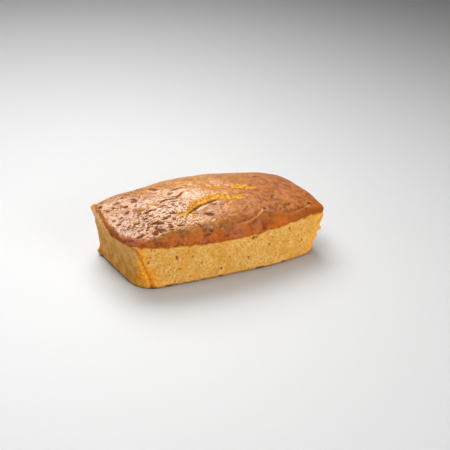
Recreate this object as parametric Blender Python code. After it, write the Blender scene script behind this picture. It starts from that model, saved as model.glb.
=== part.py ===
"""Pound cake: one whole, uncut loaf, baked in a loaf tin lined with paper.

The pale crumb walls are where the cake stood against the paper. The browned crust is the dome that rose
above it, with a rounded shoulder, a split along its top and smaller cracks round that.
The mesh is in metres, +Z up. The long side at -Y is the front, and the origin is on the floor under the
middle of the cake. Every size below is in millimetres, and every angle in degrees.
"""

import bmesh
import bpy
import numpy as np

MM = 0.001

# Driving dimensions of the tin's inside, where the cake took its outline
LENGTH = 238.0
WIDTH = 119.0
HEIGHT = 71.5
FOOT_LENGTH = 218.0
FOOT_WIDTH = 112.0
FOOT_ROUNDING = 1.5

# How far the sides bow out between the corners, which are cooler and rise less
TOP_BOW_LONG = 12.8
TOP_BOW_END = 4.2
FOOT_BOW_LONG = 6.2
FOOT_BOW_END = 2.0

# Corner radii in plan, at the left end (-X) and the right end (+X)
TOP_CORNERS = (7.0, 8.5)
FOOT_CORNERS = (19.5, 19.5)

# Height of the line where crumb meets crust: at the corners, along the long sides and at the ends
EDGE_CORNER = 47.6
EDGE_LONG = 42.8
EDGE_END = 44.4
CRUST_OVERHANG = 0.8

# The crust's shoulder: how far it leans in from the crumb's edge to the rim of the dome, and how far its
# curve follows the way it leaves the edge and the way it meets the rim
SHOULDER_CORNER = 3.6
SHOULDER_LONG = 8.5
SHOULDER_END = 4.0
SHOULDER_PULL = (0.62, 0.45)

# The dome above the rim's corners: its rise along the length, along the width, and of both together
RIM_CORNER = 51.3
RISE_LENGTH = 12.6
RISE_WIDTH = 1.8
RISE_MIDDLE = 5.6
DOME_TILT = 3.4
POWER_LENGTH = 1.95
POWER_WIDTH = 2.4

# The front of the left end falls away further: how far, and from where to where along and across
LEFT_FALL = 4.6
LEFT_FALL_ALONG = (72.0, 113.0)
LEFT_FALL_ACROSS = (-40.0, 0.0)

# The corner at the back left is drawn out into a beak at the crust's edge: how far, how near the corner,
# and how much it rises for each millimetre that it is drawn out
BEAK_LENGTH = 3.6
BEAK_SPREAD = 5.0
BEAK_LIFT = 1.5

# The split: its middle and length, the front lip's line with its bend towards the left end, how wide it gapes,
# how deep its front lip stands and how much of that it loses towards the right, and the low swell of the
# crust in front of that lip
SPLIT_CENTRE = -16.0
SPLIT_LENGTH = 68.0
SPLIT_FRONT = -22.6
SPLIT_BEND = 9.8
SPLIT_BEND_START = 3.0
SPLIT_BEND_REACH = 50.0
SPLIT_BEND_POWER = 1.3
SPLIT_WIDTH = 13.8
SPLIT_DEPTH = 4.4
SPLIT_SHALLOW = 0.55
SPLIT_SHALLOW_SPAN = (-34.0, 8.0)
GAPE_POWER = 3.0
GAPE_DEEP = 1.6
LIP_RAMP = 0.14
LIP_RISE = 0.9
LIP_REACH = 3.4

# Behind the split the crust has flaked off a long low hump, which leaves a rippled hollow
FLAKE_CENTRE = (17.0, -3.6)
FLAKE_SIZE = (32.0, 8.5)
FLAKE_ANGLE = -9.0
FLAKE_DEPTH = 1.1
RIPPLE_SHARE = 0.4
RIPPLE_TURNS = (0.55, 0.35)

# Smaller cracks, slits and pits in the crust: x, y, length, width, depth, angle
CRACKS = (
    (-53.0, -0.6, 19.0, 3.0, 1.5, -9.0),
    (-35.0, 2.2, 13.0, 2.8, 1.5, 36.0),
    (-31.0, 15.2, 17.0, 3.4, 1.5, 8.0),
    (-96.0, 27.9, 10.0, 3.0, 1.0, -15.0),
    (-82.5, 2.0, 13.0, 3.2, 1.2, -27.0),
    (-79.4, -8.4, 12.0, 3.0, 1.3, 10.0),
    (-80.0, -30.3, 12.0, 4.0, 1.5, -29.0),
    (-83.6, -43.2, 7.0, 3.6, 1.2, -20.0),
    (-28.0, -41.5, 12.0, 5.0, 1.6, -4.0),
    (-45.5, -50.0, 12.0, 3.8, 1.4, -40.0),
    (-53.4, 31.0, 9.0, 5.4, 1.8, -50.0),
    (-79.1, 24.7, 7.0, 4.2, 1.4, -30.0),
    (-86.9, 34.5, 5.0, 3.6, 1.2, 0.0),
    (-111.5, 33.0, 4.2, 4.0, 2.2, 0.0),
    (32.0, -2.5, 22.0, 3.2, 1.2, -14.0),
    (97.5, -37.5, 6.0, 4.0, 1.4, -10.0),
    (64.3, -51.5, 6.0, 4.0, 1.4, -10.0),
    (-62.0, -44.0, 8.0, 3.4, 1.0, -20.0),
    (72.0, 26.0, 14.0, 3.2, 1.0, 8.0),
    (-6.0, 38.0, 16.0, 3.0, 0.9, -5.0),
)

# Folds where the soft skin slid over itself along the front's right half: points along each crest, the
# crest's height and the depth of the groove behind it
FOLDS = (
    (((-6.0, -57.2), (9.9, -56.9), (20.4, -55.0), (28.0, -51.5), (34.0, -46.0)), 1.0, 1.1),
    (((42.0, -54.0), (58.0, -53.4), (72.7, -51.8), (84.1, -48.5), (95.0, -44.0)), 0.9, 1.5),
)
FOLD_WIDTH = 2.2
FOLD_CREST = 1.8
FOLD_GROOVE_PLACE = 1.3

# Slow unevenness of the crust and of the walls: wavelength and height
WAVE_LENGTH = 34.0
WAVE_CRUST = 0.55
WAVE_WALL = 0.35
WAVE_SPREAD = (0.5, 1.8)
WAVE_COUNT = 14
SEED = 5

# Folds that the lining paper left in the long sides: each starts under the crust's corner and drifts
# towards the middle on its way down
CREASE_DEPTH = 1.0
CREASE_WIDTH = 3.2
CREASE_DRIFT = 0.45
CREASE_INSET = 4.0
CREASE_FADE = 8.0
CREASE_SIDE = 40.0
CREASE_SIDE_FADE = 4.0

# Torn crumb that stands out of the walls: x, y, z, radius of the lump, height
TEARS = (
    (113.0, -43.0, 38.5, 7.5, 3.2),
    (111.0, -42.0, 31.0, 5.0, 2.0),
    (109.5, -41.0, 23.0, 5.0, 5.2),
    (107.5, -41.0, 15.0, 5.0, 2.4),
    (114.0, -20.0, 30.0, 7.0, 1.2),
    (-106.0, 40.0, 3.0, 4.0, 2.4),
    (-40.0, 55.0, 24.0, 7.0, 1.0),
)

LUMP_CORE = 0.67

# The outward direction turns round a corner within this power of the distance from the middle
CORNER_POWER = 7

# Resolution: cells along and across the dome, and how much they crowd round the split
CELLS_LONG = 72
CELLS_WIDE = 40
CROWD_LONG = (-0.15, 0.25)
CROWD_WIDE = (-0.30, 0.45)

# Rings below the rim, from the top down. Shoulder: share of the way round. Wall: share of its height.
SHOULDER_RINGS = (0.80, 0.60, 0.40, 0.20, 0.0)
WALL_RINGS = (0.97, 0.80, 0.64, 0.48, 0.32, 0.16)

# Colours, and how matt the two surfaces are
CRUST_COLOUR = (0.42, 0.15, 0.05, 1)
CRUST_ROUGHNESS = 0.45
CRUMB_COLOUR = (0.70, 0.40, 0.10, 1)
CRUMB_ROUGHNESS = 0.85
SHARP_ANGLE = 50


def crowd(even, centre, amount):
    """Spaces even steps from -1 to 1 closer together round a centre."""
    return even - amount / np.pi * (np.sin(np.pi * (even - centre)) - np.sin(np.pi * centre))


def side_line(step, half_along, half_out, corners):
    """One side of a rounded rectangle for steps from -1 to 1, up to the middle of the corner at each end."""
    radius = np.where(step < 0, corners[0], corners[1])
    straight = half_along - radius
    travelled = np.abs(step) * (straight + radius * np.pi / 4)
    turned = np.maximum(travelled - straight, 0) / radius
    along = np.minimum(travelled, straight) + radius * np.sin(turned)
    out = half_out - radius * (1 - np.cos(turned))
    return np.sign(step) * along, out


def long_side(step, plan, face):
    """A point of the front (face -1) or the back (face 1)."""
    x, y = side_line(step, plan["length"] / 2, plan["width"] / 2, plan["corners"])
    return np.stack([x, face * y], axis=-1)


def end_side(step, plan, face):
    """A point of the left end (face -1) or the right end (face 1)."""
    radius = plan["corners"][0 if face < 0 else 1]
    y, x = side_line(step, plan["width"] / 2, plan["length"] / 2, (radius, radius))
    return np.stack([face * x, y], axis=-1)


def bowed(points, plan):
    """Moves the points of a plan outwards, most at the middle of each side."""
    across = np.clip(points / np.array([plan["length"], plan["width"]]) * 2, -1, 1) * np.pi / 2
    bow = np.array([plan["bow_end"], plan["bow_long"]])
    return points + bow * np.sin(across) * np.cos(across[..., ::-1])


def plan_point(s, t, plan):
    """Maps the square -1..1 by -1..1 onto a plan: its edge goes to the outline, its inside is blended."""
    right, back = (s[..., None] + 1) / 2, (t[..., None] + 1) / 2
    left, front = 1 - right, 1 - back
    ends = left * end_side(t, plan, -1) + right * end_side(t, plan, 1)
    longs = front * long_side(s, plan, -1) + back * long_side(s, plan, 1)
    corners = 0
    for share_x, step in ((left, -1.0), (right, 1.0)):
        for share_y, face in ((front, -1), (back, 1)):
            corners = corners + share_x * share_y * long_side(np.full_like(s, step), plan, face)
    return bowed(ends + longs - corners, plan)


def make_plans():
    """The outlines at the foot, at the crust's edge and at the dome's rim."""
    foot = {
        "length": FOOT_LENGTH - 2 * FOOT_BOW_END,
        "width": FOOT_WIDTH - 2 * FOOT_BOW_LONG,
        "corners": FOOT_CORNERS,
        "bow_long": FOOT_BOW_LONG,
        "bow_end": FOOT_BOW_END,
    }
    edge = {
        "length": LENGTH - 2 * TOP_BOW_END,
        "width": WIDTH - 2 * TOP_BOW_LONG,
        "corners": TOP_CORNERS,
        "bow_long": TOP_BOW_LONG,
        "bow_end": TOP_BOW_END,
    }
    rim = {
        "length": edge["length"] - 2 * SHOULDER_CORNER,
        "width": edge["width"] - 2 * SHOULDER_CORNER,
        "corners": TOP_CORNERS,
        "bow_long": TOP_BOW_LONG - SHOULDER_LONG + SHOULDER_CORNER,
        "bow_end": TOP_BOW_END - SHOULDER_END + SHOULDER_CORNER,
    }
    return foot, edge, rim


FOOT, EDGE, RIM = make_plans()


def mid_shares(points):
    """1 at the middle of a long side and of an end, falling to 0 at the corners."""
    across = np.clip(points / np.array([EDGE["length"], EDGE["width"]]) * 2, -1, 1) * np.pi / 2
    return np.cos(across[..., 0]), np.cos(across[..., 1])


def edge_height(points):
    """Height of the line where crumb meets crust."""
    long_share, end_share = mid_shares(points)
    return EDGE_CORNER + (EDGE_LONG - EDGE_CORNER) * long_share + (EDGE_END - EDGE_CORNER) * end_share


def waves():
    """Directions and phases of the waves that make the surfaces uneven, from one seed."""
    random = np.random.default_rng(SEED)
    directions = random.normal(size=(WAVE_COUNT, 3))
    directions /= np.linalg.norm(directions, axis=1)[:, None]
    lengths = WAVE_LENGTH * random.uniform(*WAVE_SPREAD, WAVE_COUNT)
    return directions * (2 * np.pi / lengths)[:, None], random.uniform(0, 2 * np.pi, WAVE_COUNT)


def unevenness(points):
    """About -1 to 1, varying slowly over the cake."""
    turns, phases = waves()
    return np.sin(points @ turns.T + phases).sum(axis=-1) / np.sqrt(WAVE_COUNT)


def local(x, y, centre, angle):
    """Coordinates along and across a feature that is turned by an angle about its centre."""
    turn = np.radians(angle)
    dx, dy = x - centre[0], y - centre[1]
    return dx * np.cos(turn) + dy * np.sin(turn), dy * np.cos(turn) - dx * np.sin(turn)


def smooth_step(value, start, end):
    """0 before start and 1 after end, with a soft S between."""
    share = np.clip((value - start) / (end - start), 0, 1)
    return share * share * (3 - 2 * share)


def split_relief(x, y):
    """The split: the crust drops at the front lip, and torn crumb slopes up from there to the back lip."""
    gape = np.clip(1 - np.abs((x - SPLIT_CENTRE) / (SPLIT_LENGTH / 2)) ** GAPE_POWER, 0, 1)
    bend = (np.abs(x - SPLIT_BEND_START) / SPLIT_BEND_REACH) ** SPLIT_BEND_POWER
    share = (y - SPLIT_FRONT + SPLIT_BEND * bend) / np.maximum(SPLIT_WIDTH * gape, 0.1)
    deep = SPLIT_DEPTH * (1 - SPLIT_SHALLOW * smooth_step(x, *SPLIT_SHALLOW_SPAN))
    drop = np.clip(share / LIP_RAMP, 0, 1) * np.clip(1 - share, 0, 1)
    before = np.minimum(share, 0) * SPLIT_WIDTH * gape / LIP_REACH
    rise = np.exp(-((before + 1) ** 2)) * (share < 0)
    return np.minimum(gape * GAPE_DEEP, 1) * (LIP_RISE * rise - deep * drop)


def flake_relief(x, y):
    """A shallow uneven hollow where the crust has flaked off behind the split."""
    along, across = local(x, y, FLAKE_CENTRE, FLAKE_ANGLE)
    away = (along / FLAKE_SIZE[0]) ** 2 + (across / FLAKE_SIZE[1]) ** 2
    ripple = 1 - RIPPLE_SHARE + RIPPLE_SHARE * np.sin(along * RIPPLE_TURNS[0] + across * RIPPLE_TURNS[1])
    return -FLAKE_DEPTH * np.clip(1 - away, 0, 1) * ripple


def crack_relief(x, y):
    """All the small cracks, slits and pits: each a groove that is deepest at its middle."""
    relief = np.zeros_like(x)
    for centre_x, centre_y, length, width, depth, angle in CRACKS:
        along, across = local(x, y, (centre_x, centre_y), angle)
        taper = np.clip(1 - (2 * along / length) ** 2, 0, 1)
        relief -= depth * np.sqrt(taper) * np.exp(-((2 * across / width) ** 2))
    return relief


def fold_relief(x, y):
    """Each fold: a narrow crest with a groove behind it, both fading towards the fold's two ends."""
    relief = np.zeros_like(x)
    for route, crest, groove in FOLDS:
        route_x, route_y = np.transpose(route)
        share = (x - route_x[0]) / (route_x[-1] - route_x[0])
        taper = np.sqrt(np.clip(4 * share * (1 - share), 0, 1))
        behind = (y - np.interp(x, route_x, route_y)) / FOLD_WIDTH
        relief += taper * crest * np.exp(-((FOLD_CREST * behind) ** 2))
        relief -= taper * groove * np.exp(-((behind - FOLD_GROOVE_PLACE) ** 2))
    return relief


def dome_height(points):
    """Height of the browned top without its relief."""
    long_share, end_share = mid_shares(points)
    reach_x = RIM["length"] / 2 + RIM["bow_end"] * end_share
    reach_y = RIM["width"] / 2 + RIM["bow_long"] * long_share
    rise_x = 1 - np.clip(np.abs(points[..., 0]) / reach_x, 0, 1) ** POWER_LENGTH
    rise_y = 1 - np.clip(np.abs(points[..., 1]) / reach_y, 0, 1) ** POWER_WIDTH
    rise = RISE_LENGTH * rise_x + RISE_WIDTH * rise_y + RISE_MIDDLE * rise_x * rise_y
    to_left = smooth_step(-points[..., 0], *LEFT_FALL_ALONG)
    to_front = smooth_step(-points[..., 1], *LEFT_FALL_ACROSS)
    tilt = DOME_TILT * points[..., 0] / (LENGTH / 2)
    return RIM_CORNER + rise - tilt - LEFT_FALL * to_left * to_front


def top_relief(points):
    """Everything that stands out of the smooth dome or is sunk into it."""
    x, y = points[..., 0], points[..., 1]
    flat = np.concatenate([points, np.full(points.shape[:-1] + (1,), HEIGHT)], axis=-1)
    shaped = split_relief(x, y) + flake_relief(x, y) + crack_relief(x, y) + fold_relief(x, y)
    return shaped + WAVE_CRUST * unevenness(flat)


def outward(points):
    """Horizontal direction out of the cake, turning evenly round the corners."""
    reach = np.array([EDGE["length"], EDGE["width"]]) / 2
    lean = np.sign(points) * (np.abs(points) / reach) ** CORNER_POWER
    return lean / np.linalg.norm(lean, axis=-1)[..., None]


def crease_relief(points, heights):
    """The paper's folds: one beside each corner of the long sides, drifting inwards towards the foot."""
    x, y = points[..., 0], points[..., 1]
    below = EDGE_CORNER - heights
    place = LENGTH / 2 - CREASE_INSET - CREASE_DRIFT * below
    near = np.exp(-(((np.abs(x) - place) / CREASE_WIDTH) ** 2))
    on_side = np.clip((np.abs(y) - CREASE_SIDE) / CREASE_SIDE_FADE, 0, 1)
    return -CREASE_DEPTH * near * on_side * np.clip(below / CREASE_FADE, 0, 1)


def tear_relief(points, heights):
    """Torn crumb that stands out of the walls."""
    relief = np.zeros_like(heights)
    for x, y, z, radius, height in TEARS:
        away = (points[..., 0] - x) ** 2 + (points[..., 1] - y) ** 2 + (heights - z) ** 2
        relief += height * np.exp(-away / (radius * LUMP_CORE) ** 2)
    return relief


def corner_beak(points):
    """How far the beak stands out: all of it at the back left corner, falling to 0 a little way off."""
    corner = plan_point(np.array([-1.0]), np.array([1.0]), EDGE)[0]
    away = np.linalg.norm(points - corner, axis=-1)
    return BEAK_LENGTH * np.exp(-((away / BEAK_SPREAD) ** 2))


def place_dome(s, t):
    """Vertices of the dome's grid."""
    points = plan_point(s, t, RIM)
    return np.column_stack([points, dome_height(points) + top_relief(points)])


def place_shoulder(s, t, turn):
    """Vertices of one ring of the shoulder: turn runs from 0 at the crust's edge to 1 at the rim, along a Bezier
    curve that leaves the edge straight up and meets the rim at the dome's own slope."""
    outer, inner = plan_point(s, t, EDGE), plan_point(s, t, RIM)
    out = outward(outer)
    low, high = edge_height(outer), dome_height(inner)
    slope = dome_height(inner - out) - high
    reach = np.linalg.norm(outer - inner, axis=-1)
    first, second = 3 * (1 - turn) ** 2 * turn, 3 * (1 - turn) * turn**2
    points = outer + (inner - outer) * (second * SHOULDER_PULL[1] + turn**3)
    after_edge = low + (high - low) * SHOULDER_PULL[0]
    before_rim = high - slope * reach * (1 - SHOULDER_PULL[1])
    heights = (1 - turn) ** 3 * low + first * after_edge + second * before_rim + turn**3 * high
    climb = smooth_step(turn, 0.0, 1.0)
    bump = WAVE_CRUST * unevenness(np.column_stack([points, heights])) * np.sin(turn * np.pi)
    beak = corner_beak(outer) * (1 - climb)
    points = points + out * (bump + beak)[:, None]
    return np.column_stack([points, heights + top_relief(points) * climb + beak * BEAK_LIFT])


def place_wall(s, t, share):
    """Vertices of one ring of the crumb wall: share of the height from the foot to the crust's edge."""
    foot, edge = plan_point(s, t, FOOT), plan_point(s, t, EDGE)
    points = foot + (edge - foot) * share
    heights = edge_height(edge) * share
    rough = np.column_stack([points, heights])
    out = outward(edge)
    bump = WAVE_WALL * (unevenness(rough) - 1) + crease_relief(points, heights)
    beak = corner_beak(edge) * share
    bump = bump + tear_relief(points, heights) - CRUST_OVERHANG * min(share * 2, 1) + beak
    return np.column_stack([points + out * bump[:, None], heights + beak * BEAK_LIFT * share])


def place_foot(s, t, height, inset):
    """Vertices of one of the two rings that round the foot."""
    foot, edge = plan_point(s, t, FOOT), plan_point(s, t, EDGE)
    share = height / EDGE_CORNER
    points = foot + (edge - foot) * share - outward(edge) * inset
    return np.column_stack([points, np.full(len(points), height)])


def ring_places():
    """For each ring below the rim, from the top down, a function of s and t that places it."""
    rings = []
    for turn in SHOULDER_RINGS:
        rings.append(lambda s, t, turn=turn: place_shoulder(s, t, turn))
    for share in WALL_RINGS:
        rings.append(lambda s, t, share=share: place_wall(s, t, share))
    rings.append(lambda s, t: place_foot(s, t, FOOT_ROUNDING, WAVE_WALL))
    rings.append(lambda s, t: place_foot(s, t, 0.0, FOOT_ROUNDING))
    return rings


def make_grid(mesh):
    """The dome's grid in the square -1..1. Each vertex keeps its s, t and ring number in a layer."""
    bmesh.ops.create_grid(mesh, x_segments=CELLS_LONG, y_segments=CELLS_WIDE, size=1)
    layer = mesh.verts.layers.float_vector.new("grid")
    for vertex in mesh.verts:
        vertex[layer] = (vertex.co.x, vertex.co.y, 0)
    return layer


def extrude_rings(mesh, layer, count):
    """Extrudes the grid's edge downwards ring by ring, and closes the last ring with the flat base."""
    edges = [edge for edge in mesh.edges if edge.is_boundary]
    for ring in range(1, count + 1):
        made = bmesh.ops.extrude_edge_only(mesh, edges=edges)["geom"]
        new_vertices = [item for item in made if isinstance(item, bmesh.types.BMVert)]
        edges = [item for item in made if isinstance(item, bmesh.types.BMEdge) and item.is_boundary]
        for vertex in new_vertices:
            vertex[layer] = (vertex[layer][0], vertex[layer][1], ring)
    bmesh.ops.contextual_create(mesh, geom=edges)


def place_vertices(mesh, layer):
    """Moves every vertex to its place on the cake."""
    mesh.verts.ensure_lookup_table()
    grid = np.array([vertex[layer][:] for vertex in mesh.verts])
    s = crowd(grid[:, 0], *CROWD_LONG)
    t = crowd(grid[:, 1], *CROWD_WIDE)
    ring = np.rint(grid[:, 2]).astype(int)
    places = np.zeros((len(grid), 3))
    for number, place in enumerate([place_dome] + ring_places()):
        chosen = ring == number
        places[chosen] = place(s[chosen], t[chosen])
    places = fit_box(places)
    for vertex, co in zip(mesh.verts, places):
        vertex.co = co * MM


def fit_box(places):
    """Centres the cake on the origin and brings it to its length, width and height."""
    low, high = places.min(axis=0), places.max(axis=0)
    middle = np.array([(low[0] + high[0]) / 2, (low[1] + high[1]) / 2, low[2]])
    return (places - middle) * np.array([LENGTH, WIDTH, HEIGHT]) / (high - low)


def make_material(name, colour, roughness):
    material = bpy.data.materials.new(name)
    material.use_nodes = True
    shader = material.node_tree.nodes["Principled BSDF"]
    shader.inputs["Base Color"].default_value = colour
    shader.inputs["Roughness"].default_value = roughness
    shader.inputs["Metallic"].default_value = 0.0
    return material


def assign_materials(data):
    """Crust down to the crust's edge, crumb below it and on the base."""
    data.materials.append(make_material("baked_crust", CRUST_COLOUR, CRUST_ROUGHNESS))
    data.materials.append(make_material("butter_crumb", CRUMB_COLOUR, CRUMB_ROUGHNESS))
    points = np.array([vertex.co[:] for vertex in data.vertices]) / MM
    limits = edge_height(points[:, :2]) - CRUST_OVERHANG
    for face in data.polygons:
        corners = list(face.vertices)
        face.material_index = int(points[corners, 2].mean() < limits[corners].mean())


def make_cake():
    mesh = bmesh.new()
    layer = make_grid(mesh)
    extrude_rings(mesh, layer, len(ring_places()))
    place_vertices(mesh, layer)
    bmesh.ops.recalc_face_normals(mesh, faces=mesh.faces)
    data = bpy.data.meshes.new("pound_cake")
    mesh.to_mesh(data)
    mesh.free()
    assign_materials(data)
    data.shade_smooth()
    data.set_sharp_from_angle(angle=np.radians(SHARP_ANGLE))
    cake = bpy.data.objects.new("pound_cake", data)
    bpy.context.scene.collection.objects.link(cake)
    return cake


for old in list(bpy.data.objects):
    bpy.data.objects.remove(old)
make_cake()
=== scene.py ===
"""Pound cake: one whole, uncut loaf as it comes out of its paper-lined tin, on a pale studio floor.

The four walls are butter crumb, pale gold and full of fine pores, where the cake stood against the paper. The
top is a browned crust that rose above the paper and split along its front half. All of it is one batter and
one piece, so it is one closed surface: a grid over the dome, with rings that run down from its edge to the
foot. Every size is in millimetres unless it says otherwise, +X is right, and -Y is the front.
"""

import math

import bpy
import numpy as np
from mathutils import Matrix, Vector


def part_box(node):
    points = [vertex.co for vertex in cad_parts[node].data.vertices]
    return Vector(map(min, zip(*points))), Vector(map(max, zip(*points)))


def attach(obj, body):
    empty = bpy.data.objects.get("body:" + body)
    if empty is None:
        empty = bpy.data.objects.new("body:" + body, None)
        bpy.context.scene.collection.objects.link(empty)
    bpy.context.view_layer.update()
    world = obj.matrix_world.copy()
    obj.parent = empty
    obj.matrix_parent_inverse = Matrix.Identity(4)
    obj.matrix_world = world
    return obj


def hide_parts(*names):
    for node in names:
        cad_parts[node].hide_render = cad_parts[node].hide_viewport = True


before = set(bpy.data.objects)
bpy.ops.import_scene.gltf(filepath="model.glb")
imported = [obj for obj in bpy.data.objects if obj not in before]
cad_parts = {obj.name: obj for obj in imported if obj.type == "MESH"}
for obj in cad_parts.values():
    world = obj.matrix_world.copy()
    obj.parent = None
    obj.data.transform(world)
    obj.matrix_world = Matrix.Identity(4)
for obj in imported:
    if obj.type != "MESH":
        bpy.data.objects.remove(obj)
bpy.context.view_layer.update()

# ------------------------------------------------------------
# The loaf's outline
# The tin gave the cake a long rounded rectangle at the foot. The batter swelled over the tin's rim, so the
# crust's edge is longer and wider and its sides bow out. The dome's rim lies a little way in from that edge.
MM = 0.001
lowest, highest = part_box("pound_cake")
LENGTH, WIDTH, HEIGHT = [side / MM for side in highest - lowest]

FOOT_PLAN = {"length": 214.0, "width": 99.6, "corners": (19.5, 19.5), "bow_long": 6.2, "bow_end": 2.0}
EDGE_PLAN = {"length": 229.6, "width": 93.4, "corners": (7.0, 8.5), "bow_long": 12.8, "bow_end": 4.2}
RIM_PLAN = {"length": 222.4, "width": 86.2, "corners": (7.0, 8.5), "bow_long": 7.9, "bow_end": 3.8}
CORNER_POWER = 7


def side_line(step, half_along, half_out, corners):
    """One side of a rounded rectangle for steps from -1 to 1: straight, then an arc up to 45 degrees of the
    corner at each end, at even steps of the distance travelled."""
    radius = np.where(step < 0, corners[0], corners[1])
    straight = half_along - radius
    travelled = np.abs(step) * (straight + radius * np.pi / 4)
    turned = np.maximum(travelled - straight, 0) / radius
    along = np.minimum(travelled, straight) + radius * np.sin(turned)
    return np.sign(step) * along, half_out - radius * (1 - np.cos(turned))


def long_side(step, plan, face):
    """A point of the front (face -1) or of the back (face 1)."""
    x, y = side_line(step, plan["length"] / 2, plan["width"] / 2, plan["corners"])
    return np.stack([x, face * y], axis=-1)


def end_side(step, plan, face):
    """A point of the left end (face -1) or of the right end (face 1)."""
    radius = plan["corners"][0 if face < 0 else 1]
    y, x = side_line(step, plan["width"] / 2, plan["length"] / 2, (radius, radius))
    return np.stack([face * x, y], axis=-1)


def quarter_turns(points, plan):
    """Each coordinate as an angle: 0 at the middle, a quarter turn at the plan's side."""
    return np.clip(points / np.array([plan["length"], plan["width"]]) * 2, -1, 1) * np.pi / 2


def plan_point(s, t, plan):
    """Maps the square -1..1 by -1..1 onto a plan. The square's edge goes to the outline, its inside is the
    blend of the four sides less the blend of the corners, and sine times cosine then bows the sides out."""
    right, back = (s[..., None] + 1) / 2, (t[..., None] + 1) / 2
    left, front = 1 - right, 1 - back
    points = left * end_side(t, plan, -1) + right * end_side(t, plan, 1)
    points = points + front * long_side(s, plan, -1) + back * long_side(s, plan, 1)
    for share_x, step in ((left, -1.0), (right, 1.0)):
        for share_y, face in ((front, -1), (back, 1)):
            points = points - share_x * share_y * long_side(np.full_like(s, step), plan, face)
    across = quarter_turns(points, plan)
    bow = np.array([plan["bow_end"], plan["bow_long"]])
    return points + bow * np.sin(across) * np.cos(across[..., ::-1])


def at_height(plan, height):
    """Points of a plan, or of anything above it, moved to one height."""
    return np.concatenate([plan[..., :2], np.full(plan.shape[:-1] + (1,), float(height))], axis=-1)


def outward(points):
    """Horizontal direction out of the cake, turning evenly round the corners: each coordinate as a share of
    the crust's edge, raised to a high power, and the two brought to length 1."""
    reach = np.array([EDGE_PLAN["length"], EDGE_PLAN["width"]]) / 2
    lean = np.sign(points) * (np.abs(points) / reach) ** CORNER_POWER
    return lean / np.linalg.norm(lean, axis=-1)[..., None]


# ------------------------------------------------------------
# The batter's unevenness
# Batter never rises evenly: the whole loaf is slightly wavy, and under the eye the surface breaks up into
# lumps and the holes of air bubbles. Each is drawn from a seed, so the cake comes out the same every time.
LATTICE = 32
WAVE_COUNT = 14
WAVE_LENGTH = 34.0
WAVE_FACTORS = (0.5, 1.8)


def waves(points):
    """About -1 to 1, varying slowly: a sum of sine waves 17 to 61 mm long in random directions."""
    random = np.random.default_rng(5)
    directions = random.normal(size=(WAVE_COUNT, 3))
    directions /= np.linalg.norm(directions, axis=1)[:, None]
    turns = directions * (2 * np.pi / (WAVE_LENGTH * random.uniform(*WAVE_FACTORS, WAVE_COUNT)))[:, None]
    phases = random.uniform(0, 2 * np.pi, WAVE_COUNT)
    return np.sin(points @ turns.T + phases).sum(axis=-1) / np.sqrt(WAVE_COUNT)


def lumps(points, size, seed):
    """0 to 1 with lumps of that size: random numbers on a lattice, blended smoothly between its corners."""
    table = np.random.default_rng(seed).random((LATTICE,) * 3)
    cell = np.floor(points / size).astype(int)
    part = points / size - cell
    part = part * part * (3 - 2 * part)
    total = np.zeros(points.shape[:-1])
    for corner in np.ndindex(2, 2, 2):
        share = np.prod(np.where(corner, part, 1 - part), axis=-1)
        total += share * table[tuple(np.moveaxis((cell + corner) % LATTICE, -1, 0))]
    return total


def roughness(points, size, seed):
    """-1 to 1: lumps of that size, with lumps of half and of a quarter of it on top."""
    mixed = 4 * lumps(points, size, seed) + 2 * lumps(points, size / 2, seed + 1)
    return (mixed + lumps(points, size / 4, seed + 2)) / 3.5 - 1


def bubbles(points, spacing, smallest, largest, seed):
    """Holes of air: 1 at a hole's middle, 0 at its rim and down to -1 outside. Each cell of a lattice of that
    spacing holds one ball at a random place. Its radius is a share of the spacing, and mostly small."""
    draws = np.random.default_rng(seed).random((LATTICE,) * 3 + (4,))
    scaled = points / spacing
    cell = np.floor(scaled).astype(int)
    depth = np.full(points.shape[:-1], -1.0)
    for step in np.ndindex(3, 3, 3):
        near = cell + np.array(step) - 1
        draw = draws[tuple(np.moveaxis(near % LATTICE, -1, 0))]
        radius = smallest + (largest - smallest) * draw[..., 3] ** 2
        away = ((scaled - near - draw[..., :3]) ** 2).sum(axis=-1) / radius**2
        depth = np.maximum(depth, 1 - away)
    return depth


def smooth_step(value, start, end):
    """0 before start and 1 after end, with a soft S between."""
    share = np.clip((value - start) / (end - start), 0, 1)
    return share * share * (3 - 2 * share)


# ------------------------------------------------------------
# The crust's edge and dome
# The line where crust meets crumb is higher at the corners, which set first. Above it the batter rose to a
# dome that is tilted down to the right, and the paper pulled one corner of the crust up into a small beak.
EDGE_CORNER = 47.6
EDGE_LONG = 41.9
EDGE_END = 44.4
EDGE_RAGGED = 0.7
EDGE_RIGHT_FALL = 2.6
EDGE_RIGHT_RANGE = (72.0, 110.0)

RIM_CORNER = 51.3
RISE_LENGTH = 12.6
RISE_WIDTH = 1.8
RISE_MIDDLE = 5.6
POWER_LENGTH = 1.95
POWER_WIDTH = 2.4
DOME_TILT = 3.4
LEFT_FALL = 4.6
LEFT_FALL_ALONG = (72.0, 113.0)
LEFT_FALL_ACROSS = (-40.0, 0.0)

# Where the dome swells: height, x, reach along the loaf, and the y between which it sets in
SWELLS = (
    (2.6, -96.0, 18.0, (5.0, 38.0)),
    (1.7, 92.0, 24.0, (-44.0, -24.0)),
)
# How far the beak stands out, how broad it is, and how far it turns up for each millimetre out
BEAK_LENGTH = 3.2
BEAK_SPREAD = 2.0
BEAK_LIFT = 1.3


def mid_shares(points):
    """1 at the middle of a long side and of an end, falling to 0 at the corners."""
    across = quarter_turns(points, EDGE_PLAN)
    return np.cos(across[..., 0]), np.cos(across[..., 1])


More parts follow.
